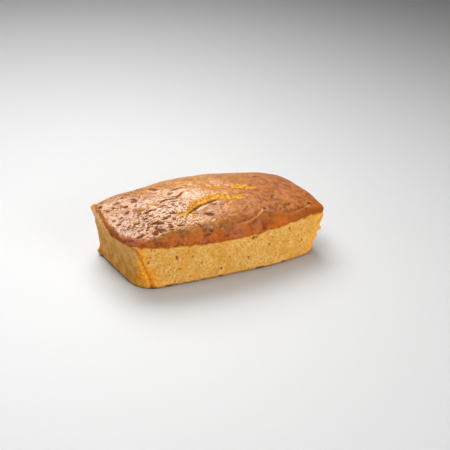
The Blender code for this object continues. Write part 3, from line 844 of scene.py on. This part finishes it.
def face_finishes(points, looks, faces):
    """Which finish each face has. The dome is baked crust, and crumb where it is torn. The shoulder and the
    lowest of the dome are toasted where all corners of a face are dry, up to a ragged line that climbs
    towards the right end. Everything below the crust's edge is crumb."""
    cells, collar, walls, cap = faces
    ragged = DRY_RAGGED * roughness(points, size=9.0, seed=95)
    browner = looks["shoulder"] + ragged + DRY_RIGHT * smooth_step(points[:, 0], *DRY_RIGHT_RANGE)
    low = looks["above_line"] + DRY_DOME_RAGGED * ragged < DRY_DOME_BELOW
    dry = (low & (points[:, 0] > DRY_DOME_RIGHT)) | (looks["shoulder"] > DRY_FROM)
    dome = np.where(dry[cells].all(axis=1), TOASTED, BAKED)
    dome[looks["torn"][cells].mean(axis=1) > BARE_FROM] = CRUMB
    shoulder = np.where((browner > DRY_FROM)[collar].all(axis=1), TOASTED, BAKED)
    return np.concatenate([dome, shoulder, np.full(len(walls) + len(cap), CRUMB)])


def fit_box(points):
    """Centres the loaf on the origin and brings it to its length, width and height."""
    low, high = points.min(axis=0), points.max(axis=0)
    middle = np.array([(low[0] + high[0]) / 2, (low[1] + high[1]) / 2, low[2]])
    return (points - middle) * np.array([LENGTH, WIDTH, HEIGHT]) / (high - low)


def make_loaf():
    """The whole loaf as one closed, smooth mesh in metres, with its looks and the finish of each face."""
    s, t, round_s, round_t = grid_lines()
    grid_s, grid_t = [side.ravel() for side in np.meshgrid(s, t)]
    rings = ring_parts(round_s, round_t)
    parts = [place_dome(grid_s, grid_t), *rings, (np.zeros((1, 3)), np.zeros(1), np.zeros(1), np.zeros(1))]
    points, torn, hollow, shoulder = [np.concatenate(column) for column in zip(*parts)]
    above_line = points[:, 2] - edge_height(points[:, :2])
    looks = dict(zip(LOOKS, (torn, hollow, shoulder, tight_share(points), above_line)))
    faces = loaf_faces(len(rings))
    mesh = bpy.data.meshes.new("loaf")
    mesh.from_pydata(fit_box(points) * MM, [], [face for part in faces for face in part.tolist()])
    mesh.shade_smooth()
    for name, values in looks.items():
        mesh.attributes.new(name, "FLOAT", "POINT").data.foreach_set("value", values.astype(np.float32))
    return mesh, face_finishes(points, looks, faces)


loaf_mesh, loaf_finishes = make_loaf()

# ------------------------------------------------------------
# Butter crumb
# Baked batter of butter, egg and flour: soft, dry to the touch and matt. The eye sees pale gold, with
# painted shade darkening the pores against the walls between them, and browner where the tin's heat reached
# it.
# Millimetres between the crumb's pores: real ones lie closer, and are drawn as coarse as it takes to show
PORE_SPACING = 3.6
# How much further right a place counts for each millimetre that it lies nearer the front
FRONT_SLANT = 0.8


def linear(code):
    """An sRGB colour such as D9A45B as linear red, green, blue and 1."""
    parts = [int(code[n : n + 2], 16) / 255 for n in (0, 2, 4)]
    return [((part + 0.055) / 1.055) ** 2.4 if part > 0.04045 else part / 12.92 for part in parts] + [1.0]


def add(tree, kind, inputs=(), out=0, **settings):
    """Adds one shader node: its settings, then its inputs, by name or in the node's own order, each a value
    or another node's output. Gives the node's output of that number or name."""
    made = tree.nodes.new("ShaderNode" + kind)
    for name, value in settings.items():
        setattr(made, name, value)
    for name, value in inputs.items() if isinstance(inputs, dict) else enumerate(inputs):
        if isinstance(value, bpy.types.NodeSocket):
            tree.links.new(value, made.inputs[name])
        else:
            made.inputs[name].default_value = value
    return made.outputs[out]


def layered(tree, colour, layers):
    """Lays colours over a first one. Each layer says what it goes by, the start and the end between which it
    sets in, the most that it covers, and its colour: a hex code, or what an earlier call gave."""
    for value, start, end, most, over in layers:
        share = add(tree, "MapRange", (value, start, end, 0.0, most))
        first, second = [linear(ink) if isinstance(ink, str) else ink for ink in (colour, over)]
        colour = add(tree, "Mix", {0: share, 6: first, 7: second}, out=2, data_type="RGBA")
    return colour


def start_material(name, settings):
    """A new material with its node tree and its shader, which gets these settings."""
    material = bpy.data.materials.new(name)
    material.use_nodes = True
    shader = material.node_tree.nodes["Principled BSDF"]
    for socket, value in settings.items():
        shader.inputs[socket].default_value = value
    return material, material.node_tree, shader


def read_loaf(tree):
    """All that a colour can go by: the place and its three parts in metres, how far right it counts as lying,
    and the looks that the vertices keep."""
    place = add(tree, "TexCoord", out="Object")
    at = dict(zip(("along", "across", "height"), add(tree, "SeparateXYZ", (place,)).node.outputs))
    at["place"] = place
    at["right"] = add(tree, "Math", (at["across"], -FRONT_SLANT, at["along"]), operation="MULTIPLY_ADD")
    for name in LOOKS:
        at[name] = add(tree, "Attribute", out="Fac", attribute_name=name)
    return at


def crumb_colour(tree, at):
    """Pale gold, with painted shade that darkens the pores and the paper's folds, orange-gold patches where
    it browned or tore, and clouds of brown on the cake's two ends, painted lighter higher up. A thin brown
    line with darker spots runs round the foot."""
    fine, broad, cloudy, spotty = [
        add(tree, "TexNoise", {"Vector": at["place"], "Scale": 1 / (size * MM), "Detail": detail})
        for size, detail in ((2.4, 3.0), (13.0, 3.0), (8.0, 3.0), (9.0, 1.0))
    ]
    pores = add(tree, "TexVoronoi", {"Vector": at["place"], "Scale": 1 / (PORE_SPACING * MM)})
    golden = layered(tree, "D07A0A", [
        (fine, 0.35, 0.60, 1.0, "F4A22E"),
        (at["along"], 60 * MM, 100 * MM, 0.55, "EEB650"),
    ])
    clouds = layered(tree, "B06C22", [
        (cloudy, 0.38, 0.62, 1.0, "E0AC56"),
        # Painted light: the ends lighter higher up and darker towards the foot
        (at["height"], 22 * MM, 40 * MM, 0.5, "FAC078"),
    ])
    ends = add(tree, "Math", (at["along"],), operation="ABSOLUTE")
    spots = add(tree, "MapRange", (spotty, 0.57, 0.64))
    low = add(tree, "MapRange", (at["height"], 3.4 * MM, 1.2 * MM))
    return layered(tree, "CC903A", [
        (fine, 0.34, 0.64, 1.0, "E3B568"),
        (broad, 0.42, 0.62, 0.65, "D2922F"),
        # Painted shade: darker in the pores that the crumb's bump presses in
        (pores, 0.26, 0.10, 0.65, "A4661C"),
        # Painted shade: darker in the pores, the paper's folds and the base's dents, the deeper the darker
        (at["hollow"], 0.15, 0.8, 0.95, "80400E"),
        (at["torn"], 0.05, 0.8, 0.9, golden),
        (ends, 105 * MM, 111 * MM, 0.6, clouds),
        (at["height"], 3.0 * MM, 0.6 * MM, 0.85, "8C4E16"),
        (add(tree, "Math", (spots, low), operation="MULTIPLY"), 0.0, 1.0, 1.0, "64300E"),
    ])


# ------------------------------------------------------------
# Baked crust
# The same batter, dried and browned by the oven, with butter and sugar in its skin. The eye sees a tan to
# red-brown skin with a soft satin gloss, painted shade in its pits, painted sheen in a few pale patches,
# and gold where the skin broke.

# Specks, small pits that the crust darkens as painted shade: how far apart they lie, their direction in
# radians, and their width as a share of their length
SPECK_SPACING = 2.3
SPECK_TURN = 0.42
SPECK_DRAWN = 0.55
# An oval of painted sheen beside the split, a pale greyish-cream tone in place of the crust's gloss: its
# middle, and how far it reaches from there
SHEEN_MIDDLE = (-37.9, -18.2)
SHEEN_REACH = (35.7, 30.3)


def shaded_pits(tree, at):
    """Up to 1 in small drawn-out pits about 2 mm apart, 0 outside them, and weaker where skin isn't tight.
    The crust presses them in and darkens them as painted shade.
    """
    turn = {"Vector": at["place"], "Rotation": (0, 0, SPECK_TURN), "Scale": (SPECK_DRAWN, 1, 1)}
    drawn = add(tree, "Mapping", turn)
    cells = add(tree, "TexVoronoi", {"Vector": drawn, "Scale": 1 / (SPECK_SPACING * MM)})
    inside = add(tree, "MapRange", (cells, 0.36, 0.20))
    tight = add(tree, "MapRange", (at["tight"], 0.0, 0.8, 0.15, 1.0))
    return add(tree, "Math", (inside, tight), operation="MULTIPLY")


def crust_colour(tree, at, line):
    """Tan on top and orange to red brown round the shoulder, gold where the skin broke. Painted shade darkens
    pits, cracks and the split, painted highlight lightens pit lips and fold crests, and pale patches are
    painted sheen.
    """
    blotches, mottling, flecks, rosy, sheen_patches, bits = [
        add(tree, "TexNoise", {"Vector": at["place"], "Scale": 1 / (size * MM), "Detail": detail})
        for size, detail in ((12.0, 3.0), (4.0, 3.0), (2.4, 1.0), (7.0, 3.0), (9.0, 2.0), (8.0, 1.0))
    ]
    scale = [1 / (reach * MM) for reach in SHEEN_REACH]
    shift = [-middle / reach for middle, reach in zip(SHEEN_MIDDLE, SHEEN_REACH)]
    oval = add(tree, "Mapping", {"Vector": at["place"], "Location": (*shift, 0), "Scale": (*scale, 0)})
    beside = add(tree, "VectorMath", (oval,), out="Value", operation="LENGTH")
    right = layered(tree, "5C1E04", [
        (rosy, 0.42, 0.60, 1.0, "AC5C28"),
        (mottling, 0.44, 0.60, 0.5, "924A10"),
    ])
    top = layered(tree, "96561A", [
        (mottling, 0.36, 0.62, 1.0, "BE8C42"),
        (at["along"], -10 * MM, -80 * MM, 0.55, "784A2A"),
        (blotches, 0.40, 0.62, 0.5, "B67220"),
        # Painted sheen: the pale oval beside the split
        (beside, 1.3, 0.8, 0.3, "C8A88C"),
        (at["right"], -20 * MM, 60 * MM, 0.7, right),
        (flecks, 0.44, 0.34, 0.6, "7A3A0E"),
    ])
    side = layered(tree, "54200A", [
        (blotches, 0.40, 0.56, 1.0, "BC5E1A"),
        (mottling, 0.44, 0.62, 0.6, "AA501C"),
        # Painted sheen: pinkish patches that stand for the shoulder's glossy highlights
        (sheen_patches, 0.50, 0.64, 0.45, "BC7450"),
        (at["along"], 15 * MM, 50 * MM, 0.5, "C86818"),
        (at["along"], 55 * MM, 90 * MM, 0.85, "8E4502"),
        (at["along"], -92 * MM, -106 * MM, 0.65, "74340E"),
    ])
    gold = layered(tree, "9C6210", [
        (flecks, 0.38, 0.62, 1.0, "D69A36"),
        (bits, 0.54, 0.66, 0.7, "AC5C0C"),
        # Painted shade: the torn crumb darker deep in the split and in the front lip's shadow
        (at["hollow"], 0.1, 0.8, 1.0, "6E3A06"),
    ])
    return layered(tree, top, [
        (at["shoulder"], 0.0, 1.0, 1.0, side),
        # Painted sheen: a pale strip where the shoulder share is below 0, at the back of the left end
        (at["shoulder"], -0.05, -0.3, 0.8, "E4A070"),
        # Painted shade: the small pits darker
        (shaded_pits(tree, at), 0.0, 1.0, 0.75, "70300A"),
        # Painted shade in pits, cracks and the lip's shadow; painted highlight on pit lips and fold crests
        (at["hollow"], 0.12, 0.45, 0.9, "6C3006"),
        (at["hollow"], -0.1, -0.8, 0.7, "D08848"),
        (at["hollow"], 1.3, 1.7, 0.85, "2E1206"),
        (line, 2.6, 1.2, 0.65, "823A0C"),
        (at["torn"], 0.1, 0.9, 1.0, gold),
    ])


# ------------------------------------------------------------
# The three finishes
# The browned skin ends in a ragged line a little off the crust's edge, so every finish carries both colours.
# They differ in their gloss and in what is pressed into them: crust is satin, crumb and the dried rim matt.


def batter_colour(tree, at):
    """Crumb below the crust's edge and crust above it, with an orange-gold rim between. The edge is ragged,
    and the crumb reaches up to 9 mm higher at the back of the left end."""
    wander, teeth = [
        add(tree, "TexNoise", {"Vector": at["place"], "Scale": 1 / (size * MM), "Detail": detail})
        for size, detail in ((6.0, 3.0), (2.4, 1.0))
    ]
    back = add(tree, "MapRange", (at["across"], -8 * MM, 44 * MM, 0.0, -9.0))
    left = add(tree, "MapRange", (at["along"], -100 * MM, -110 * MM))
    moves = [add(tree, "MapRange", (wander, 0.3, 0.7, -2.0, 2.0))]
    moves.append(add(tree, "MapRange", (teeth, 0.3, 0.7, -1.0, 1.0)))
    moves.append(add(tree, "Math", (back, left), operation="MULTIPLY"))
    line = at["above_line"]
    for move in moves:
        line = add(tree, "Math", (line, move), operation="ADD")
    return layered(tree, crumb_colour(tree, at), [
        (line, -1.4, 0.2, 1.0, "C06E14"),
        (line, 0.2, 1.6, 1.0, crust_colour(tree, at, line)),
    ])


def grained(tree, at, size, detail, strength, depth):
    """A fine grain pressed into the surface: the normal over lumps of that size in millimetres, that deep."""
    grain = add(tree, "TexNoise", {"Vector": at["place"], "Scale": 1 / (size * MM), "Detail": detail})
    return add(tree, "Bump", {"Height": grain, "Strength": strength, "Distance": depth * MM})


def make_baked_crust():
    """The top's skin: satin, and duller in its hollows, towards the right and just above the crust's edge."""
    material, tree, shader = start_material("baked_crust", {"IOR": 1.5, "Specular IOR Level": 0.28})
    at = read_loaf(tree)
    grain = grained(tree, at, size=2.6, detail=1.0, strength=0.5, depth=1.0)
    pitted = {"Height": shaded_pits(tree, at), "Strength": 1.0, "Distance": 0.9 * MM, "Normal": grain}
    rough = add(tree, "MapRange", (at["shoulder"], 0.3, 1.0, 0.26, 0.60))
    for value, start, end, most in (
        (at["hollow"], 0.05, 0.3, 0.75),
        (at["right"], -10 * MM, 45 * MM, 0.5),
        (at["above_line"], 3.0, 1.0, 0.7),
    ):
        duller = add(tree, "MapRange", (value, start, end, 0.0, most))
        rough = add(tree, "Math", (rough, duller), operation="MAXIMUM")
    tree.links.new(batter_colour(tree, at), shader.inputs["Base Color"])
    tree.links.new(add(tree, "Bump", pitted, invert=True), shader.inputs["Normal"])
    tree.links.new(rough, shader.inputs["Roughness"])
    return material


def make_butter_crumb():
    """Open crumb: matt, with a fine grain and its pores pressed in."""
    settings = {"Roughness": 0.85, "IOR": 1.45, "Specular IOR Level": 0.18}
    material, tree, shader = start_material("butter_crumb", settings)
    at = read_loaf(tree)
    grain = grained(tree, at, size=1.6, detail=2.0, strength=0.5, depth=0.7)
    cells = add(tree, "TexVoronoi", {"Vector": at["place"], "Scale": 1 / (PORE_SPACING * MM)})
    pores = add(tree, "MapRange", (cells, 0.28, 0.10))
    pitted = {"Height": pores, "Strength": 0.7, "Distance": 0.7 * MM, "Normal": grain}
    tree.links.new(batter_colour(tree, at), shader.inputs["Base Color"])
    tree.links.new(add(tree, "Bump", pitted, invert=True), shader.inputs["Normal"])
    return material


def make_toasted_rim():
    """The crust round the shoulder, which the tin's rim dried: the same colours and hardly any gloss."""
    settings = {"Roughness": 0.6, "IOR": 1.5, "Specular IOR Level": 0.12}
    material, tree, shader = start_material("toasted_rim", settings)
    at = read_loaf(tree)
    grain = grained(tree, at, size=2.0, detail=1.0, strength=0.6, depth=1.0)
    tree.links.new(batter_colour(tree, at), shader.inputs["Base Color"])
    tree.links.new(grain, shader.inputs["Normal"])
    return material


# ------------------------------------------------------------
# The finished loaf
# One baked piece with three finishes, in the order of their numbers: the crust's skin, the open crumb and
# the toasted rim. It stands for the whole cake.
for finish in (make_baked_crust(), make_butter_crumb(), make_toasted_rim()):
    loaf_mesh.materials.append(finish)
loaf_mesh.polygons.foreach_set("material_index", loaf_finishes)
loaf = bpy.data.objects.new("loaf", loaf_mesh)
bpy.context.scene.collection.objects.link(loaf)
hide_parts("pound_cake")
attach(loaf, "root")

# ------------------------------------------------------------
# The studio
# A pale floor under a low, broad softbox in front, a panel overhead to the left, and four panels behind that
# put the sheen on the crust. A small panel fills in the left end, and another the floor's far left corner.
# Lengths here are in metres and angles in degrees.
FLOOR_REACH = 6.0
SURROUND_STRENGTH = 0.14
# Panels: name, the point each aims at, azimuth, elevation, distance, size, power in watts, angle of its grid
PANELS = (
    ("front_softbox", (0, 0, 0.05), 13, 20, 1.6, 0.8, 18.8, 180),
    ("overhead_panel", (-0.34, -0.06, 0), -124, 84, 1.2, 0.6, 3.3, 120),
    ("back_high_panel", (0, 0, 0.05), 174, 50, 1.31, 1.1, 5.7, 80),
    ("back_right_panel", (0, 0, 0.05), 140, 52, 1.31, 0.5, 0.3, 56),
    ("back_left_panel", (-0.09, -0.02, 0.05), 186, 50, 1.31, 0.5, 0.3, 56),
    ("back_low_panel", (0, 0, 0.05), 160, 35, 1.53, 0.6, 0.75, 80),
    ("left_panel", (-0.12, 0, 0.03), -100, 14, 0.9, 0.35, 0.12, 60),
    ("floor_panel", (-0.36, 0.72, 0), -124, 84, 0.9, 0.6, 0.55, 120),
)


def make_floor():
    """One large flat square under the cake."""
    corners = np.array([[-1, -1, 0], [1, -1, 0], [1, 1, 0], [-1, 1, 0]]) * FLOOR_REACH
    mesh = bpy.data.meshes.new("floor")
    mesh.from_pydata(corners, [], [(0, 1, 2, 3)])
    mesh.materials.append(start_material("pale_floor", {"Base Color": linear("B2B2B2"), "Roughness": 0.6})[0])
    floor = bpy.data.objects.new("floor", mesh)
    bpy.context.scene.collection.objects.link(floor)


def direction(azimuth, elevation):
    """Unit vector towards an azimuth, 0 at -Y and 90 at +X, and an elevation, both in radians."""
    level = math.cos(elevation)
    return np.array([math.sin(azimuth) * level, -math.cos(azimuth) * level, math.sin(elevation)])


def facing(back, roll, place):
    """Matrix of a camera or light at a place whose back points along back, rolled by an angle in radians."""
    side = np.array([-back[1], back[0], 0.0])
    side /= np.linalg.norm(side)
    top = np.cross(back, side)
    right = math.cos(roll) * side + math.sin(roll) * top
    up = math.cos(roll) * top - math.sin(roll) * side
    columns = [[*right, 0], [*up, 0], [*back, 0], [*place, 1]]
    return Matrix(np.array(columns, float).T.tolist())


def add_panel(name, aim, azimuth, elevation, distance, size, power, grid):
    """A square soft light that faces the point it aims at, and whose grid keeps its light within an angle."""
    data = bpy.data.lights.new(name, "AREA")
    data.shape = "SQUARE"
    data.size = size
    data.energy = power
    data.spread = math.radians(grid)
    light = bpy.data.objects.new(name, data)
    back = direction(math.radians(azimuth), math.radians(elevation))
    light.matrix_world = facing(back, 0.0, np.array(aim) + back * distance)
    bpy.context.scene.collection.objects.link(light)


def light_surround(strength):
    """Even white light from all round."""
    world = bpy.data.worlds.new("surround")
    world.use_nodes = True
    background = world.node_tree.nodes["Background"]
    background.inputs["Color"].default_value = linear("FFFFFF")
    background.inputs["Strength"].default_value = strength
    bpy.context.scene.world = world


make_floor()
light_surround(SURROUND_STRENGTH)
for panel in PANELS:
    add_panel(*panel)
bpy.context.scene.view_settings.view_transform = "Standard"

# ------------------------------------------------------------
# The camera
# A 100 mm lens about 1.3 m away, looking down at the front left corner, with a small tilt of the picture.
# Lengths here are in metres, but for the lens.
CAMERA_LENS = 100.0
CAMERA_AZIMUTH = math.radians(-33.564)
CAMERA_ELEVATION = math.radians(26.267)
CAMERA_ROLL = math.radians(4.314)
CAMERA_DISTANCE = 1.3062
CAMERA_AIM_HEIGHT = 0.030
CAMERA_OFFSET = (0.01578, -0.00063)


def add_camera():
    """Backs away from a point just above the floor, then steps sideways and down in the picture's plane."""
    data = bpy.data.cameras.new("camera")
    data.lens = CAMERA_LENS
    camera = bpy.data.objects.new("camera", data)
    back = direction(CAMERA_AZIMUTH, CAMERA_ELEVATION)
    matrix = np.array(facing(back, CAMERA_ROLL, (0, 0, CAMERA_AIM_HEIGHT)))
    matrix[:3, 3] += back * CAMERA_DISTANCE + matrix[:3, :2] @ np.array(CAMERA_OFFSET)
    camera.matrix_world = Matrix(matrix.tolist())
    bpy.context.scene.collection.objects.link(camera)
    bpy.context.scene.camera = camera


add_camera()
